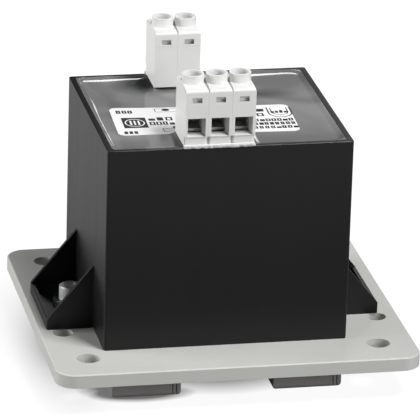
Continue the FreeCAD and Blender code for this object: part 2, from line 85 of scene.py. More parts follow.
def softSpot(tree, place, middle, reach, kind):
    # 1 in the middle, falling to 0 at its reach
    moved = addNode(tree, "ShaderNodeMapping",
                    {"vector_type": "TEXTURE", "Location": mm(*middle), "Scale": mm(*reach)},
                    {"Vector": place})
    return addNode(tree, "ShaderNodeTexGradient", {"gradient_type": kind},
                   {"Vector": moved.outputs["Vector"]}).outputs["Fac"]


def startMaterial(name, look):
    material = bpy.data.materials.new(name)
    material.use_nodes = True
    tree = material.node_tree
    shader = tree.nodes["Principled BSDF"]
    for socket, value in look.items():
        shader.inputs[socket].default_value = value
    place = addNode(tree, "ShaderNodeTexCoord").outputs["Object"]
    return material, tree, shader, place


# Camera and studio

studio = {
    "place": (-366.15, -1702.83, 730.72),       # the camera, from the object's origin
    "right": (0.97956, -0.19916, 0.02829),
    "up": (0.0455, 0.35637, 0.93324),
    "back": (-0.19594, -0.91287, 0.35815),
    "lens": 371.6, "sensor": 36, "farthest": 50000,
    "room": 0.01,                               # strength of the even white light all round
    "aim": (0, 0, 60),                          # where the lamps point
    "lamps": {                                  # power in W
        "keyLight": {"place": (750, -920, 2300), "size": (750, 750), "power": 57.0},
        "leftLight": {"place": (-2300, 300, 720), "size": (1400, 1200), "power": 55.0},
        "frontRightCard": {"place": (1500, -2300, 900), "size": (1200, 1000), "power": 34.0},
        "backCard": {"place": (300, 2800, 350), "size": (4200, 650), "power": 1.2},
        "backHighCard": {"place": (1570, 2800, 1300), "size": (2200, 900), "power": 1.6},
        "rearTopCard": {"place": (640, 2800, 1900), "size": (480, 500), "power": 5.6},
        "rearRightCard": {"place": (861, 2651, 908), "size": (200, 150), "power": 0.35},
    },
}
floorLook = {
    "side": 12000, "roughness": 0.9,
    "tint": "#606060",                          # its own grey where the camera sees it, under the glow
    "bounce": "#808080",                        # what it gives back to the object
    "glow": 0.93,                               # seen by the camera alone, so that it reads as white
    "darkest": 0.13,                            # what the deepest shade leaves of the glow
    # soft shade: middle, reach, depth, kind of falloff
    "shade": [((-66, 5, 0), (27, 95, 30), 0.8, "QUADRATIC_SPHERE"),
              ((-48, -42, 0), (18, 13, 30), 1.2, "SPHERICAL"),
              ((-38, -50, 0), (24, 9, 30), 1.5, "SPHERICAL"),
              ((0, 10, 0), (60, 66, 30), 2.7, "SPHERICAL")],
    # the lit floor as glossy faces mirror it, behind the object and well in front of it:
    # where along Y it starts and is full, and its strength
    "sheens": [(-100, 300, 0.41), (-180, -330, 0.09)],
}


def placeCamera():
    scene = bpy.context.scene
    camera = bpy.data.objects.new("camera", bpy.data.cameras.new("camera"))
    scene.collection.objects.link(camera)
    turn = Matrix((studio["right"], studio["up"], studio["back"])).transposed()
    camera.matrix_world = Matrix.Translation(mm(*studio["place"])) @ turn.to_4x4()
    camera.data.lens = studio["lens"]
    camera.data.sensor_width = studio["sensor"]
    camera.data.clip_end = mm(studio["farthest"])
    scene.camera = camera
    scene.view_settings.view_transform = "Standard"


def lightRoom():
    scene = bpy.context.scene
    world = bpy.data.worlds.new("evenWhiteRoom")
    scene.world = world
    world.use_nodes = True
    background = world.node_tree.nodes["Background"]
    background.inputs["Color"].default_value = (1, 1, 1, 1)
    background.inputs["Strength"].default_value = studio["room"]
    for name, lamp in studio["lamps"].items():
        light = bpy.data.lights.new(name, "AREA")
        light.shape = "RECTANGLE"
        light.size, light.size_y = (mm(side) for side in lamp["size"])
        light.energy = lamp["power"]
        panel = bpy.data.objects.new(name, light)
        scene.collection.objects.link(panel)
        panel.location = mm(*lamp["place"])
        panel.rotation_euler = (mm(*studio["aim"]) - panel.location).to_track_quat("-Z", "Y").to_euler()
        panel.visible_camera = False


def layFloor():
    bpy.ops.object.select_all(action="DESELECT")
    bpy.ops.mesh.primitive_plane_add(size=mm(floorLook["side"]))
    floor = bpy.context.object
    floor.name = "paleFloor"
    material, tree, shader, place = startMaterial("matt white paper floor", {
        "Roughness": floorLook["roughness"], "Specular IOR Level": 0.0, "Emission Color": (1, 1, 1, 1)})
    path = addNode(tree, "ShaderNodeLightPath")
    paper = addNode(tree, "ShaderNodeMix", {"data_type": "RGBA", 6: linearColour(floorLook["bounce"]),
                                            7: linearColour(floorLook["tint"])},
                    {0: path.outputs["Is Camera Ray"]})
    tree.links.new(paper.outputs[2], shader.inputs["Base Color"])

    along = addNode(tree, "ShaderNodeSeparateXYZ", {}, {0: place}).outputs["Y"]
    sheens = [addNode(tree, "ShaderNodeMapRange",
                      {"From Min": mm(start), "From Max": mm(full), "To Min": 0.0, "To Max": strength},
                      {"Value": along}) for start, full, strength in floorLook["sheens"]]
    both = addNode(tree, "ShaderNodeMath", {}, {i: sheens[i].outputs["Result"] for i in (0, 1)})
    mirrored = addNode(tree, "ShaderNodeMath", {"operation": "MULTIPLY"},
                       {0: path.outputs["Is Glossy Ray"], 1: both.outputs[0]})

    white = addNode(tree, "ShaderNodeMath", {0: floorLook["glow"], 1: 0.0})    # all of it, before the shade
    for middle, reach, depth, kind in floorLook["shade"]:
        white = addNode(tree, "ShaderNodeMath", {"operation": "MULTIPLY_ADD", 1: -depth},
                        {0: softSpot(tree, place, middle, reach, kind), 2: white.outputs[0]})
    held = addNode(tree, "ShaderNodeMath", {"operation": "MAXIMUM", 1: floorLook["darkest"]},
                   {0: white.outputs[0]})
    glow = addNode(tree, "ShaderNodeMath", {"operation": "MULTIPLY_ADD"},
                   {0: path.outputs["Is Camera Ray"], 1: held.outputs[0], 2: mirrored.outputs[0]})
    tree.links.new(glow.outputs[0], shader.inputs["Emission Strength"])
    floor.data.materials.append(material)


placeCamera()
lightRoom()
layFloor()
print("studio ready")


# Materials

def paintTones(tree, shader, place, look, size, detail, spread=(0.0, 1.0), distortion=0.0):
    # the material's two tones in soft patches
    patches = addNode(tree, "ShaderNodeTexNoise",
                      {"Scale": 1000 / size, "Detail": detail, "Distortion": distortion}, {"Vector": place})
    share = addNode(tree, "ShaderNodeMapRange", {"From Min": spread[0], "From Max": spread[1]},
                    {"Value": patches.outputs["Fac"]})
    tones = addNode(tree, "ShaderNodeMix", {"data_type": "RGBA", 6: linearColour(look["colour"]),
                                            7: linearColour(look["colourTwo"])}, {0: share.outputs["Result"]})
    tree.links.new(tones.outputs[2], shader.inputs["Base Color"])
    return patches.outputs["Fac"], tones.outputs[2]


def addGrain(tree, shader, place, size, depth, strength, detail=2.0):
    # fine unevenness of the surface
    grain = addNode(tree, "ShaderNodeTexNoise", {"Scale": 1000 / size, "Detail": detail}, {"Vector": place})
    bump = addNode(tree, "ShaderNodeBump", {"Strength": strength, "Distance": mm(depth)},
                   {"Height": grain.outputs["Fac"]})
    tree.links.new(bump.outputs["Normal"], shader.inputs["Normal"])


def paintShadeByHeight(tree, shader, place, look, colour, rough):
    # painted shade: darker low down, and smoother on the rim
    height = addNode(tree, "ShaderNodeSeparateXYZ", {}, {0: place}).outputs["Z"]
    shadeFade, rim = (addNode(tree, "ShaderNodeMapRange", {"From Min": mm(start), "From Max": mm(end)},
                         {"Value": height}).outputs["Result"] for start, end in (look["shadeFade"], look["rim"]))
    shadedColour = addNode(tree, "ShaderNodeMix", {"data_type": "RGBA", 6: linearColour(look["paintedShadeColour"])},
                    {0: shadeFade, 7: colour})
    tree.links.new(shadedColour.outputs[2], shader.inputs["Base Color"])
    smoothed = addNode(tree, "ShaderNodeMix", {"data_type": "FLOAT", 3: look["rimRough"]}, {0: rim, 2: rough})
    tree.links.new(smoothed.outputs[0], shader.inputs["Roughness"])


def mouldedPlastic(name, look):
    soft, softReach = look.get("soft", (0.0, 1.0))         # share of the light that goes in, and how far
    material, tree, shader, place = startMaterial(name, {
        "IOR": look["ior"], "Subsurface Weight": soft, "Subsurface Radius": (1, 1, 1),
        "Subsurface Scale": mm(softReach)})
    _, colour = paintTones(tree, shader, place, look, look["cloud"], detail=3.0)
    stretch = addNode(tree, "ShaderNodeMapping", {"Scale": look.get("stretch", (1, 1, 1))}, {"Vector": place})
    drag = addNode(tree, "ShaderNodeTexNoise", {"Scale": 1000 / look["drag"], "Detail": 4.0},
                   {"Vector": stretch.outputs["Vector"]})
    rough = addNode(tree, "ShaderNodeMapRange", {"From Min": 0.3, "From Max": 0.7, "To Min": look["rough"][0],
                                                 "To Max": look["rough"][1]}, {"Value": drag.outputs["Fac"]})
    tree.links.new(rough.outputs["Result"], shader.inputs["Roughness"])
    addGrain(tree, shader, place, look["grain"], look["depth"], look["bump"])
    if "shadeFade" in look:
        paintShadeByHeight(tree, shader, place, look, colour, rough.outputs["Result"])
    return material


def platedSteel(name, look):
    material, tree, shader, place = startMaterial(name, {"Metallic": 1.0})
    patches, _ = paintTones(tree, shader, place, look, look["patch"], detail=4.0)
    rough = addNode(tree, "ShaderNodeMapRange", {"To Min": look["rough"][0], "To Max": look["rough"][1]},
                    {"Value": patches})
    tree.links.new(rough.outputs["Result"], shader.inputs["Roughness"])
    addGrain(tree, shader, place, look["grain"], depth=0.02, strength=0.2)
    return material


def pouredResin(name, look):
    material, tree, shader, place = startMaterial(name, {"IOR": look["ior"], "Roughness": look["rough"]})
    _, colour = paintTones(tree, shader, place, look, look["cloud"], detail=1.5, spread=(0.36, 0.64),
                           distortion=1.2)
    # painted shadows: darker patches mixed into the resin's colour where the terminals shade it
    for middle, reach, depth in look["paintedShadows"]:
        share = addNode(tree, "ShaderNodeMath", {"operation": "MULTIPLY", 1: depth},
                        {0: softSpot(tree, place, middle, reach, "SPHERICAL")})
        colour = addNode(tree, "ShaderNodeMix", {"data_type": "RGBA", 7: linearColour(look["paintedShadowColour"])},
                         {0: share.outputs[0], 6: colour}).outputs[2]
    tree.links.new(colour, shader.inputs["Base Color"])
    addGrain(tree, shader, place, look["swell"], look["depth"], strength=1.0, detail=1.0)
    return material


finishes = {
    # moulded black ABS: satin, with faint upright streaks from the mould, a smoother rim and painted shade
    # towards the bottom
    "case_plastic": mouldedPlastic("moulded black ABS", {
        "colour": "#161618", "colourTwo": "#1b1b1d", "ior": 1.42, "cloud": 40,
        # painted shade: the colour darkens towards the bottom, fading out between these heights in mm
        "paintedShadeColour": "#050506", "shadeFade": (25, 100), "rim": (108.9, 109.1), "rimRough": 0.14,
        "stretch": (1, 1, 0.06), "drag": 9.0, "rough": (0.395, 0.435), "grain": 0.5, "bump": 0.15,
        "depth": 0.02}),
    # moulded light grey polyamide: matt, slightly cloudy
    "plate_plastic": mouldedPlastic("moulded light grey polyamide", {
        "colour": "#bebfbb", "colourTwo": "#c5c6c1", "ior": 1.5, "cloud": 25, "drag": 6.0,
        "rough": (0.5, 0.62), "grain": 0.7, "bump": 0.3, "depth": 0.03}),
    # moulded dark grey polyamide with glass fibre: matt
    "foot_plastic": mouldedPlastic("moulded dark grey polyamide", {
        "colour": "#8b8986", "colourTwo": "#918f8c", "ior": 1.5, "cloud": 12, "drag": 3.0,
        "rough": (0.45, 0.6), "grain": 0.5, "bump": 0.3, "depth": 0.03}),
    # moulded white polyamide: smooth satin with a little light going in
    "terminal_plastic": mouldedPlastic("moulded white polyamide", {
        "colour": "#e2e2e0", "colourTwo": "#e6e6e4", "ior": 1.53, "soft": (0.08, 0.8), "cloud": 10,
        "drag": 2.0, "rough": (0.32, 0.42), "grain": 0.4, "bump": 0.12, "depth": 0.015}),
    # bright zinc on steel: pale and softly shining, with faint spangles
    "zinc_steel": platedSteel("bright zinc on steel", {
        "colour": "#e2e4e6", "colourTwo": "#d2d4d6", "patch": 3.0, "rough": (0.36, 0.5), "grain": 0.4}),
    # nickel on steel strip: dull and slightly warm
    "cage_steel": platedSteel("nickel on steel strip", {
        "colour": "#d0d0cc", "colourTwo": "#bcbcb8", "patch": 2.0, "rough": (0.55, 0.7), "grain": 0.4}),
    # drawn spring wire: grey and fairly bright
    "spring_steel": platedSteel("drawn spring wire", {
        "colour": "#9a9b9c", "colourTwo": "#808182", "patch": 1.0, "rough": (0.25, 0.35), "grain": 0.3}),
    # tinned brass strip: pale with a yellow cast
    "strip_brass": platedSteel("tinned brass strip", {
        "colour": "#b8b3a6", "colourTwo": "#a8a396", "patch": 2.0, "rough": (0.25, 0.4), "grain": 0.4}),
    # blued sheet edges: dark blue-grey and patchy
    "core_steel": platedSteel("blued sheet edges", {
        "colour": "#55585c", "colourTwo": "#3c3f43", "patch": 6.0, "rough": (0.4, 0.55), "grain": 0.5}),
    # enamelled copper: a brown-red shine
    "copper_wire": platedSteel("enamelled copper", {
        "colour": "#b5653a", "colourTwo": "#9a4f2c", "patch": 2.0, "rough": (0.25, 0.35), "grain": 0.6}),
    # moulded black polyester: matt
    "former_plastic": mouldedPlastic("moulded black polyester", {
        "colour": "#1a1a1a", "colourTwo": "#222222", "ior": 1.5, "cloud": 12, "drag": 3.0,
        "rough": (0.5, 0.6), "grain": 0.5, "bump": 0.2, "depth": 0.02}),
    # extruded red insulation: smooth, with a soft shine
    "lead_insulation": mouldedPlastic("extruded red insulation", {
        "colour": "#8e1410", "colourTwo": "#9c1b15", "ior": 1.5, "cloud": 8, "drag": 2.0,
        "rough": (0.35, 0.45), "grain": 0.5, "bump": 0.1, "depth": 0.01}),
    # yellow crepe tape: matt and finely wrinkled
    "insulation_paper": mouldedPlastic("yellow crepe tape", {
        "colour": "#d9bd52", "colourTwo": "#e3c964", "ior": 1.45, "cloud": 6, "drag": 2.0,
        "rough": (0.6, 0.75), "grain": 0.6, "bump": 0.5, "depth": 0.05}),
    # cast grey epoxy: a mirror-smooth skin with a slow swell, a cloudy filler, and painted shadows as darker
    # patches beside the terminals
    "resin": pouredResin("cast grey epoxy", {
        "colour": "#707071", "colourTwo": "#858585", "ior": 1.52, "rough": 0.08, "cloud": 40,
        "swell": 22, "depth": 0.25, "paintedShadowColour": "#343535",
        "paintedShadows": [((-25, 36, 108), (15, 17, 30), 1.5), ((20, 18, 108), (22, 8, 30), 0.9),
                  ((-12, -40, 108), (60, 13, 30), 0.75)]}),    # middle, reach, depth
    # printed white film: smooth, with a soft shine
    "label_paper": mouldedPlastic("white film label", {
        "colour": "#f0f0f0", "colourTwo": "#f4f4f4", "ior": 1.45, "cloud": 20, "drag": 5.0,
        "rough": (0.35, 0.45), "grain": 1.0, "bump": 0.05, "depth": 0.01}),
    # black printing ink on the film: matt
    "label_ink": mouldedPlastic("black printing ink", {
        "colour": "#161618", "colourTwo": "#1c1c1e", "ior": 1.45, "cloud": 3, "drag": 1.0,
        "rough": (0.5, 0.65), "grain": 0.4, "bump": 0.05, "depth": 0.005}),
    # cured adhesive pressed out under the terminals: whitish and glossy, a little lumpy
    "clear_glue": mouldedPlastic("cured whitish adhesive", {
        "colour": "#a9aba8", "colourTwo": "#d6d8d5", "ior": 1.5, "cloud": 1.5, "drag": 1.0,
        "rough": (0.15, 0.3), "grain": 0.8, "bump": 0.6, "depth": 0.08}),
}


def dressNodes():
    slots = {part["node"]: part["material_slot"] for part in frame["record"]["subparts"]}
    for name, node in nodes.items():
        node.data.materials.clear()
        node.data.materials.append(finishes[slots[name]])
    return slots


slots = dressNodes()
print("materials ready:", len(finishes))


# Steps that every piece goes through

def pick(*pieces):
    bpy.ops.object.select_all(action="DESELECT")
    for piece in pieces:
        piece.select_set(True)
    bpy.context.view_layer.objects.active = pieces[-1]


def applyModifier(piece, kind, settings):
    modifier = piece.modifiers.new(kind.lower(), kind)
    for key, value in settings.items():
        setattr(modifier, key, value)
    pick(piece)
    bpy.ops.object.modifier_apply(modifier=modifier.name)


def joinPieces(parts):
    pick(*parts)
    bpy.ops.object.join()
    return bpy.context.object


def copyOf(mesh, name):
    piece = bpy.data.objects.new(name, mesh.copy())
    bpy.context.scene.collection.objects.link(piece)
    return piece


def settle(piece, name, body, slotName, stoodFor=()):
    pick(piece)
    bpy.ops.object.transform_apply(location=True, rotation=True, scale=True)
    piece.name = piece.data.name = name
    if not piece.data.materials:
        piece.data.materials.append(finishes[slotName])
    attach(piece, body)
    if stoodFor:
        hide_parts(*stoodFor)
    return piece


# Pieces made from the frame's own shapes, with the edges eased

easing = {"case": 0.3, "mounting_plate": 0.06, "rail_foot": 0.2, "rail_latch": 0.15, "clamp_cage": 0.12,
          "contact_strip": 0.1}
poles = {"front": ("in_1", "in_2", "in_3"), "back": ("out_1", "out_2")}
housing = {
    "edge": 0.25, "joint": 0.03, "corner": 0.7,    # how far each kind of edge is rounded
    "sideWithin": 0.05,                            # an edge this near to a side lies on it
    "uprightOver": 5, "cornersFrom": 112,          # upright edges above this height are corners
}
seams = {"weld": 0.001, "flat": 0.5, "sharp": 30, "smooth": 35}    # mm, then degrees


def looseCopy(nodeName):
    piece = copyOf(nodes[nodeName].data, nodeName + "Copy")
    pick(piece)
    bpy.ops.object.mode_set(mode="EDIT")
    bpy.context.tool_settings.mesh_select_mode = (False, True, False)
    bpy.ops.mesh.select_all(action="SELECT")
    bpy.ops.mesh.remove_doubles(threshold=mm(seams["weld"]))
    bpy.ops.mesh.dissolve_limited(angle_limit=math.radians(seams["flat"]))
    bpy.ops.object.mode_set(mode="OBJECT")
    return piece


def easedCopy(nodeName, pieceName, body, width, edgeWidth=None):
    piece = looseCopy(nodeName)
    if width:
        bpy.ops.object.mode_set(mode="EDIT")
        bpy.ops.mesh.select_all(action="DESELECT")
        bpy.ops.mesh.edges_select_sharp(sharpness=math.radians(seams["sharp"]))
        bpy.ops.object.mode_set(mode="OBJECT")
        mesh = piece.data
        weights = mesh.attributes.new("bevel_weight_edge", "FLOAT", "EDGE")
        for edge in mesh.edges:
            if edge.select:
                ends = [mesh.vertices[i].co * 1000 for i in edge.vertices]
                weights.data[edge.index].value = edgeWidth(*ends) / width if edgeWidth else 1.0
        applyModifier(piece, "BEVEL", {"width": mm(width), "segments": 3 if edgeWidth else 2,
                                       "limit_method": "WEIGHT", "use_clamp_overlap": True})
    pick(piece)
    bpy.ops.object.shade_smooth_by_angle(angle=math.radians(seams["smooth"]))
    applyModifier(piece, "WEIGHTED_NORMAL", {"keep_sharp": True})
    return settle(piece, pieceName, body, slots[nodeName], [nodeName])


def makeSpring(side):
    spring = easedCopy("latch_spring_" + side, "coilSpring_" + side, "frame", 0)
    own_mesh(spring)


def makeEasedPieces():
    easedCopy("case", "boxCase", "frame", easing["case"])
    easedCopy("mounting_plate", "drilledPlate", "frame", easing["mounting_plate"])
    for side in ("left", "right"):
        easedCopy("rail_foot_" + side, "clipFoot_" + side, "frame", easing["rail_foot"])
        easedCopy("rail_latch_" + side, "slidingLatch_" + side, "latch_" + side, easing["rail_latch"])
        makeSpring(side)
    for row in poles.values():
        for pole in row:
            easedCopy("clamp_cage_" + pole, "risingCage_" + pole, "cage_" + pole, easing["clamp_cage"])
            easedCopy("contact_strip_" + pole, "bentStrip_" + pole, "frame", easing["contact_strip"])


def makeHousing(pole, row):
    low, high = boxInMm("terminal_housing_" + pole)
    free = [low.x if pole == row[0] else None, high.x if pole == row[-1] else None]

    def edgeWidth(a, b):
        near = housing["sideWithin"]
        onSide = [side for side in (low.x, high.x) if abs(a.x - side) < near and abs(b.x - side) < near]
        if not onSide:
            return housing["edge"]
        if onSide[0] not in free:                  # it meets the next housing
            return housing["joint"]
        upright = abs(a.z - b.z) > housing["uprightOver"] and min(a.z, b.z) > housing["cornersFrom"]
        return housing["corner"] if upright else housing["edge"]

    easedCopy("terminal_housing_" + pole, "poleHousing_" + pole, "frame", housing["corner"], edgeWidth)


def makeHousings():
    for row in poles.values():
        for pole in row:
            makeHousing(pole, row)


# Potting resin

resin = {
    "wallRise": 0.85, "wallReach": 1.2, "corner": 6.0,     # how it climbs the case's walls
    "poleRise": 1.35, "poleReach": 1.3,                    # how it climbs the terminals' lower edges
    "underPole": 2.0, "poleEnd": 3.0, "overlap": 0.1,      # how that fades: beneath them and towards the wall
    "finest": 0.3, "coarsest": 1.6, "growth": 0.22,        # spacing of the surface's points
    "skin": 1.5, "seam": 1.2,                              # depth of the shaped skin, and of the cut under it
    "smooth": 50,                                          # degrees
    # slow hollows and humps: x, y, reach across, reach along, height
    "swells": [(-38, 30, 20, 16, 0.10), (20, -5, 34, 26, -0.14), (34, 30, 14, 12, 0.10),
               (-36, -30, 15, 12, 0.06), (-5, 14, 16, 12, -0.06), (26, 45.5, 13, 4.5, 0.45),
               (-40, 45.5, 11, 5, 0.36), (-52.5, 14, 4.5, 18, 0.4)],
}
resinLow, resinHigh = boxInMm("potting_resin")
resinLevel = boxInMm("rating_label")[0].z


def rowBlock(row):
    first, last = boxInMm("terminal_housing_" + row[0]), boxInMm("terminal_housing_" + row[-1])
    return first[0].x, last[1].x, first[0].y, first[1].y


blocks = [rowBlock(row) for row in poles.values()]         # left, right, front and back of each row


def resinHeight(x, y):
    across = min(x - resinLow.x, resinHigh.x - x)
    along = min(y - resinLow.y, resinHigh.y - y)
    radius = resin["corner"]
    if across < radius and along < radius:
        away = max(0.0, radius - math.hypot(radius - across, radius - along))
    else:
        away = max(0.0, min(across, along))
    rise = resin["wallRise"] * math.exp(-away / resin["wallReach"])
    for x0, x1, y0, y1 in blocks:
        gap = math.hypot(max(x0 - x, 0, x - x1), max(y0 - y, 0, y - y1))
        inside = max(0.0, min(x - x0, x1 - x, max(y - y0, y1 - y)))
        climb = resin["poleRise"] * math.exp(-gap / resin["poleReach"] - inside / resin["underPole"])
        rise = max(rise, climb * min(1.0, along / resin["poleEnd"])) + resin["overlap"] * min(rise, climb)
    for swellX, swellY, reachX, reachY, height in resin["swells"]:
        rise += height * math.exp(-((x - swellX) / reachX) ** 2 - ((y - swellY) / reachY) ** 2)
    return resinLevel + rise


def gradedStops(low, high, lines):
    stops = [low]
    while stops[-1] < high:
        nearest = min(abs(stops[-1] - line) for line in lines)
        stops.append(stops[-1] + min(resin["coarsest"], max(resin["finest"], resin["growth"] * nearest)))
    spread = (high - low) / (stops[-1] - low)
    return [low + (stop - low) * spread for stop in stops]


def makeResin():
    sides = [edge for block in blocks for edge in block[:2]]
    xs = gradedStops(resinLow.x, resinHigh.x, [resinLow.x, resinHigh.x] + sides)
    ys = gradedStops(resinLow.y, resinHigh.y, [resinLow.y, resinHigh.y, blocks[0][3], blocks[1][2]])
    bpy.ops.object.select_all(action="DESELECT")
    bpy.ops.mesh.primitive_grid_add(x_subdivisions=len(xs) - 1, y_subdivisions=len(ys) - 1, size=1)
    skin = bpy.context.object
    for vertex in skin.data.vertices:                      # the grid runs from -0.5 to 0.5
        x = xs[round((vertex.co.x + 0.5) * (len(xs) - 1))]
        y = ys[round((vertex.co.y + 0.5) * (len(ys) - 1))]
        vertex.co = mm(x, y, resinHeight(x, y))
    applyModifier(skin, "SOLIDIFY", {"thickness": mm(resin["skin"]), "offset": -1.0})
    body = looseCopy("potting_resin")
    bpy.ops.object.mode_set(mode="EDIT")
    bpy.ops.mesh.select_all(action="SELECT")
    bpy.ops.mesh.bisect(plane_co=mm(0, 0, resinLevel - resin["seam"]), plane_no=(0, 0, 1), clear_outer=True,
                        use_fill=True)
    bpy.ops.object.mode_set(mode="OBJECT")
    body.data.materials.clear()
    fill = joinPieces([body, skin])
    bpy.ops.object.shade_smooth_by_angle(angle=math.radians(resin["smooth"]))
    settle(fill, "pouredFill", "frame", "resin", ["potting_resin"])


# Rating label and its print

label = {
    "centre": (-6.9, -11.7), "turn": -2.2, "size": (77.4, 33.0), "corner": 3.0,    # the turn in degrees
    "thickness": 0.15, "clearance": 0.02, "steps": (96, 42), "smooth": 40,
    "curl": 0.35, "curlReach": 14,                         # how the corner at the back left stands off
}
# plain marks where such labels have their lettering, all placed from the label's middle
marks = {
    # rows of small marks: left, bottom, right, top, number of marks, whether some are hollow
    "rows": [(-36.2, 9.6, -28.8, 13.0, 3, True), (-36.0, -15.2, -29.7, -12.0, 3, True),
             (-23.6, 0.4, -12.6, 4.4, 3, True), (-23.8, -5.0, -12.4, -1.0, 4, True),
             (24.0, 8.4, 28.0, 12.8, 1, True), (23.4, 2.6, 27.2, 6.4, 1, True),
             (-1.0, -3.9, 38.4, -0.7, 16, True), (2.0, -8.3, 38.6, -5.1, 16, True),
             (0.0, -12.8, 39.0, -9.7, 16, True), (29.9, 6.2, 37.5, 9.6, 4, False),
             (-8.0, 0.6, 20.0, 4.2, 9, True), (-8.0, 8.6, 12.0, 11.4, 9, True)],
    "seed": 7,
    "filled": (0.7, 0.88),                                 # share of its pitch that a mark fills
    "tall": (0.6, 1.0),                                    # share of the row's height that a solid mark has
    "hollow": 0.6,                                         # share of the marks that are hollow
    "line": 0.8, "lineShare": 0.24,                        # their line, and its most as a share of the height
    "frames": [(-19.4, 10.8, -8.4, 15.0), (-19.2, -13.8, -8.8, -9.4)], "frameLine": 0.3,
    "spots": [(-14.6, 13.4, 1.7, 1.3), (-13.2, -8.6, 1.6, 2.0)],
    "bowls": [(33.8, 13.2, 5.2, 12.4, 0.6), (33.8, 12.6, 3.7, 9.0, 0.45)],    # middle, top, half width,
                                                                              # depth, line
    "badge": (-35.1, -8.0, -24.8, 4.4),
    "ring": (4.3, 4.6, 0.55),                              # in the badge: half width, half height, line
    "bars": (-1.7, 0, 1.7), "bar": (0.4, 2.6),             # in the ring: places, half width and half height
    "roundSteps": 40, "cuts": 2,
    "inkLift": 0.02, "clearLift": 0.035,                   # above the label
}


def onLabel(u, v):
    turn = math.radians(label["turn"])
    return (label["centre"][0] + u * math.cos(turn) - v * math.sin(turn),
            label["centre"][1] + u * math.sin(turn) + v * math.cos(turn))


def labelTop(u, v):
    x, y = onLabel(u, v)
    halfLength, halfWidth = (side / 2 for side in label["size"])
    off = math.hypot(u + halfLength, v - halfWidth) / label["curlReach"]
    lifted = label["thickness"] + label["clearance"] + label["curl"] * math.exp(-off * off)
    return x, y, resinHeight(x, y) + lifted


def makeLabel():
    bpy.ops.object.select_all(action="DESELECT")
    lengthwise, across = label["steps"]
    bpy.ops.mesh.primitive_grid_add(x_subdivisions=lengthwise, y_subdivisions=across, size=2)
    sheet = bpy.context.object
    halfLength, halfWidth = (side / 2 for side in label["size"])
    radius = label["corner"]
    for vertex in sheet.data.vertices:                     # the grid runs from -1 to 1
        u, v = vertex.co.x * halfLength, vertex.co.y * halfWidth
        a = (abs(u) - halfLength + radius) / radius
        b = (abs(v) - halfWidth + radius) / radius
        if a > 0 and b > 0:                                # the corner's square squeezed into a quarter disc
            u = math.copysign(halfLength - radius + radius * a * math.sqrt(1 - b * b / 2), u)
            v = math.copysign(halfWidth - radius + radius * b * math.sqrt(1 - a * a / 2), v)
        vertex.co = mm(*labelTop(u, v))
    applyModifier(sheet, "SOLIDIFY", {"thickness": mm(label["thickness"]), "offset": -1.0})
    pick(sheet)
    bpy.ops.object.shade_smooth_by_angle(angle=math.radians(label["smooth"]))
    settle(sheet, "ratingLabel", "frame", "label_paper", ["rating_label"])


# Marks are drawn flat, with one Blender unit for a millimetre, and laid on the label at the end.

def printedBar(left, bottom, right, top):
    bpy.ops.mesh.primitive_plane_add(size=1, location=((left + right) / 2, (bottom + top) / 2, 0))
    bar = bpy.context.object
    bar.scale = (right - left, top - bottom, 1)
    return bar


def printedFrame(left, bottom, right, top, line):
    return [printedBar(left, bottom, right, bottom + line), printedBar(left, top - line, right, top),
            printedBar(left, bottom + line, left + line, top - line),
            printedBar(right - line, bottom + line, right, top - line)]


def printedRing(x, y, halfWidth, halfHeight, line):
    bpy.ops.mesh.primitive_circle_add(vertices=marks["roundSteps"], radius=1, fill_type="NGON",
                                      location=(x, y, 0))
    ring = bpy.context.object
    ring.scale = (halfWidth, halfHeight, 1)
    bpy.ops.object.transform_apply(location=False, rotation=False, scale=True)
    if line:
        bpy.ops.object.mode_set(mode="EDIT")
        bpy.ops.mesh.select_all(action="SELECT")
        bpy.ops.mesh.inset(thickness=line)
        bpy.ops.mesh.delete(type="FACE")
        bpy.ops.object.mode_set(mode="OBJECT")
    return ring


def printedBowl(x, top, halfWidth, depth, line):
    foot = top - depth + halfWidth                         # where the sides turn into the round bottom
    ring = printedRing(x, foot, halfWidth, halfWidth, line)
    pick(ring)
    bpy.ops.object.transform_apply(location=True, rotation=False, scale=False)
    bpy.ops.object.mode_set(mode="EDIT")
    bpy.ops.mesh.select_all(action="SELECT")
    bpy.ops.mesh.bisect(plane_co=(0, foot, 0), plane_no=(0, 1, 0), clear_outer=True)
    bpy.ops.object.mode_set(mode="OBJECT")
    return [ring, printedBar(x - halfWidth, foot, x - halfWidth + line, top),
            printedBar(x + halfWidth - line, foot, x + halfWidth, top)]


def drawInk():
    chance = random.Random(marks["seed"])
    ink = []
    for left, bottom, right, top, count, someHollow in marks["rows"]:
        pitch = (right - left) / count
        line = min(marks["line"], marks["lineShare"] * (top - bottom))
        for i in range(count):
            start = left + i * pitch
            end = start + pitch * chance.uniform(*marks["filled"])
            if someHollow and chance.random() < marks["hollow"]:
                ink += printedFrame(start, bottom, end, top, line)
            else:
                ink.append(printedBar(start, bottom, end,
                                      bottom + (top - bottom) * chance.uniform(*marks["tall"])))
    for frameEdges in marks["frames"]:
        ink += printedFrame(*frameEdges, marks["frameLine"])
    for spot in marks["spots"]:
        ink.append(printedRing(*spot, 0))
    for bowl in marks["bowls"]:
        ink += printedBowl(*bowl)
    ink.append(printedBar(*marks["badge"]))
    return ink


def drawClearLines():
    left, bottom, right, top = marks["badge"]
    x, y = (left + right) / 2, (bottom + top) / 2
    halfWidth, halfHeight = marks["bar"]
    return [printedRing(x, y, *marks["ring"])] + [
        printedBar(x + shift - halfWidth, y - halfHeight, x + shift + halfWidth, y + halfHeight)
        for shift in marks["bars"]]


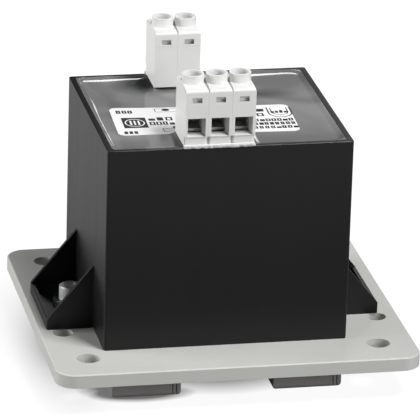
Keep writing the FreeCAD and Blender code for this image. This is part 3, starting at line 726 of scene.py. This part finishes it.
def layPrint(parts, name, lift, finish):
    mark = joinPieces(parts)
    bpy.ops.object.transform_apply(location=True, rotation=True, scale=True)
    bpy.ops.object.mode_set(mode="EDIT")
    bpy.ops.mesh.select_all(action="SELECT")
    bpy.ops.mesh.quads_convert_to_tris()
    bpy.ops.mesh.subdivide(number_cuts=marks["cuts"])
    bpy.ops.object.mode_set(mode="OBJECT")
    for vertex in mark.data.vertices:
        x, y, z = labelTop(vertex.co.x, vertex.co.y)
        vertex.co = mm(x, y, z + lift)
    mark.data.materials.append(finishes[finish])
    settle(mark, name, "frame", "label_paper")


def makePrint():
    layPrint(drawInk(), "labelInk", marks["inkLift"], "label_ink")
    layPrint(drawClearLines(), "labelClear", marks["clearLift"], "label_paper")


# Screws

lugScrew = {"head": 10.0, "headHeight": 6.0, "ridges": 44, "ridgeDepth": 0.1, "chamfer": 0.45,
            "socket": 5.0, "socketDepth": 3.0, "shank": 6.0, "pitch": 1.0,
            "turns": {"left": 0.4, "right": 1.1}}          # radians
clampScrew = {"head": 6.9, "headHeight": 2.2, "sides": 48, "chamfer": 0.35,
              "slotWidth": 1.2, "slotDepth": 1.1, "shank": 4.0, "pitch": 0.7,
              "turns": {"in_1": 12, "in_2": -28, "in_3": 50, "out_1": -8, "out_2": 35}}    # degrees
thread = {
    "depth": 0.55, "footing": 0.06, "slope": 0.44,         # shares of the pitch: depth, a flank's two ends
    "sunk": 0.05, "under": 0.01, "tip": 0.02,              # ridge in the core, crest under size, chamfer
    "sides": 32, "steps": 28, "smooth": 30,                # the last in degrees
}
cutPast = 1                                                # how far a cutting shape stands out of the head


def addCylinder(diameter, low, high, sides):
    bpy.ops.mesh.primitive_cylinder_add(vertices=sides, radius=mm(diameter / 2), depth=mm(high - low),
                                        location=mm(0, 0, (low + high) / 2))
    rod = bpy.context.object
    bpy.ops.object.transform_apply(location=True, rotation=False, scale=False)
    return rod


def chamferTop(piece, diameter, chamfer):
    bpy.ops.object.mode_set(mode="EDIT")
    bpy.context.tool_settings.mesh_select_mode = (False, False, True)
    bpy.ops.mesh.select_all(action="DESELECT")
    bpy.ops.object.mode_set(mode="OBJECT")
    for face in piece.data.polygons:
        face.select = face.normal.z > 0.99                 # the top one
    bpy.ops.object.mode_set(mode="EDIT")
    bpy.ops.mesh.extrude_region_move(TRANSFORM_OT_translate={"value": mm(0, 0, chamfer)})
    share = (diameter - 2 * chamfer) / diameter
    bpy.ops.transform.resize(value=(share, share, 1))
    bpy.ops.object.mode_set(mode="OBJECT")


def cutAway(piece, cutter):
    applyModifier(piece, "BOOLEAN", {"object": cutter, "operation": "DIFFERENCE", "solver": "EXACT"})
    bpy.data.objects.remove(cutter)


def addThread(diameter, pitch, low, high):
    root, crest = diameter / 2 - thread["depth"] * pitch, diameter / 2 - thread["under"]
    core = addCylinder(2 * root, low, high, thread["sides"])
    chamferTop(core, 2 * root, thread["tip"])
    inner, footing, slope = root - thread["sunk"], thread["footing"], thread["slope"]
    profile = [(inner, 0), (root, footing), (crest, slope),
               (crest, 1 - slope), (root, 1 - footing), (inner, 1)]
    mesh = bpy.data.meshes.new("threadLine")
    mesh.from_pydata([mm(radius, 0, low + share * pitch) for radius, share in profile],
                     [(i, i + 1) for i in range(len(profile) - 1)], [])
    ridge = bpy.data.objects.new("threadLine", mesh)
    bpy.context.scene.collection.objects.link(ridge)
    applyModifier(ridge, "SCREW", {"angle": 2 * math.pi, "screw_offset": mm(pitch),
                                   "iterations": int((high - low) / pitch) - 1, "steps": thread["steps"],
                                   "render_steps": thread["steps"], "use_merge_vertices": True,
                                   "use_smooth_shade": True})
    return [core, ridge]


def finishScrew(head, look, low, headLow):
    screw = joinPieces(addThread(look["shank"], look["pitch"], low, headLow) + [head])
    bpy.ops.object.shade_smooth_by_angle(angle=math.radians(thread["smooth"]))
    return screw


def placeScrew(screw, name, place, turn, body, slotName, node):
    copy = copyOf(screw.data, name)
    copy.location = place
    copy.rotation_euler.z = turn
    settle(copy, name, body, slotName, [node])


def makeLugScrews():
    low, high = boxInMm("lug_screws")
    headLow = high.z - lugScrew["headHeight"]
    head = addCylinder(lugScrew["head"], headLow, high.z - lugScrew["chamfer"], 2 * lugScrew["ridges"])
    groove = 1 - 2 * lugScrew["ridgeDepth"] / lugScrew["head"]
    for vertex in head.data.vertices:                      # every other edge of the side lies a little deeper
        step = round(math.atan2(vertex.co.y, vertex.co.x) / math.pi * lugScrew["ridges"])
        if step % 2:
            vertex.co.x, vertex.co.y = vertex.co.x * groove, vertex.co.y * groove
    chamferTop(head, lugScrew["head"], lugScrew["chamfer"])
    acrossCorners = lugScrew["socket"] * 2 / math.sqrt(3)
    cutAway(head, addCylinder(acrossCorners, high.z - lugScrew["socketDepth"], high.z + cutPast, 6))
    screw = finishScrew(head, lugScrew, low.z, headLow)
    reach = lugScrew["head"] / 2
    for side, x in (("left", low.x + reach), ("right", high.x - reach)):
        placeScrew(screw, "lugScrew_" + side, mm(x, 0, 0), lugScrew["turns"][side], "frame", "zinc_steel",
                   "lug_screws")
    bpy.data.objects.remove(screw)


def makeClampScrews():
    low, high = boxInMm("clamp_screw_in_1")
    headLow = high.z - clampScrew["headHeight"]
    head = addCylinder(clampScrew["head"], headLow, high.z - clampScrew["chamfer"], clampScrew["sides"])
    chamferTop(head, clampScrew["head"], clampScrew["chamfer"])
    bpy.ops.mesh.primitive_cube_add(size=1, location=mm(0, 0, high.z))
    cutter = bpy.context.object
    cutter.scale = mm(clampScrew["head"] + 2 * cutPast, clampScrew["slotWidth"], 2 * clampScrew["slotDepth"])
    cutAway(head, cutter)
    screw = finishScrew(head, clampScrew, low.z, headLow)
    for pole, turn in clampScrew["turns"].items():
        node = "clamp_screw_" + pole
        middle = sum(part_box(node), Vector()) / 2
        placeScrew(screw, "slottedScrew_" + pole, (middle.x, middle.y, 0), math.radians(turn),
                   "screw_" + pole, slots[node], node)
    bpy.data.objects.remove(screw)


# Bead of adhesive squeezed out under each row of terminals

bead = {
    "out": 0.5, "in": 0.5, "height": 1.3, "beyond": 0.4,   # from its line, and past the row's ends
    "inset": 0.2, "sunk": 0.1,                             # its line behind the face, its foot in the resin
    "waves": 0.28, "cuts": 44, "longOver": 5, "edge": 0.18,
}


def makeBead(name, x0, x1, wall, inward, seed):
    bpy.ops.mesh.primitive_cube_add(size=1)
    strip = bpy.context.object
    strip.scale = mm(x1 - x0 + 2 * bead["beyond"], bead["out"] + bead["in"], bead["height"])
    strip.location = mm((x0 + x1) / 2, wall + inward * (bead["in"] - bead["out"]) / 2,
                        resinHigh.z - bead["sunk"] + bead["height"] / 2)
    bpy.ops.object.transform_apply(location=True, rotation=False, scale=True)
    bpy.ops.object.mode_set(mode="EDIT")
    bpy.context.tool_settings.mesh_select_mode = (False, True, False)
    bpy.ops.mesh.select_all(action="DESELECT")
    bpy.ops.object.mode_set(mode="OBJECT")
    for edge in strip.data.edges:
        a, b = (strip.data.vertices[i].co for i in edge.vertices)
        edge.select = abs(a.x - b.x) > mm(bead["longOver"])
    bpy.ops.object.mode_set(mode="EDIT")
    bpy.ops.mesh.subdivide(number_cuts=bead["cuts"])
    bpy.ops.object.mode_set(mode="OBJECT")
    chance = random.Random(seed)
    for vertex in strip.data.vertices:
        if (vertex.co.y * 1000 - wall) * inward < 0:
            vertex.co.y += mm(chance.uniform(-1, 1) * bead["waves"])
            vertex.co.z += mm(chance.uniform(-1, 1) * bead["waves"])
    applyModifier(strip, "BEVEL", {"width": mm(bead["edge"]), "segments": 1, "limit_method": "ANGLE"})
    applyModifier(strip, "SUBSURF", {"levels": 1, "render_levels": 1})
    pick(strip)
    bpy.ops.object.shade_smooth()
    strip.data.materials.append(finishes["clear_glue"])
    settle(strip, name, "frame", "terminal_plastic")


def makeBeads():
    for seed, (row, (x0, x1, y0, y1)) in enumerate(zip(poles, blocks)):
        wall, inward = (y0 + bead["inset"], 1) if row == "front" else (y1 - bead["inset"], -1)
        makeBead(row + "Bead", x0, x1, wall, inward, seed)


makeEasedPieces()
print("eased pieces ready")
makeHousings()
print("housings ready")
makeResin()
makeLabel()
makePrint()
print("resin and label ready")
makeLugScrews()
makeClampScrews()
makeBeads()
print("screws and beads ready")
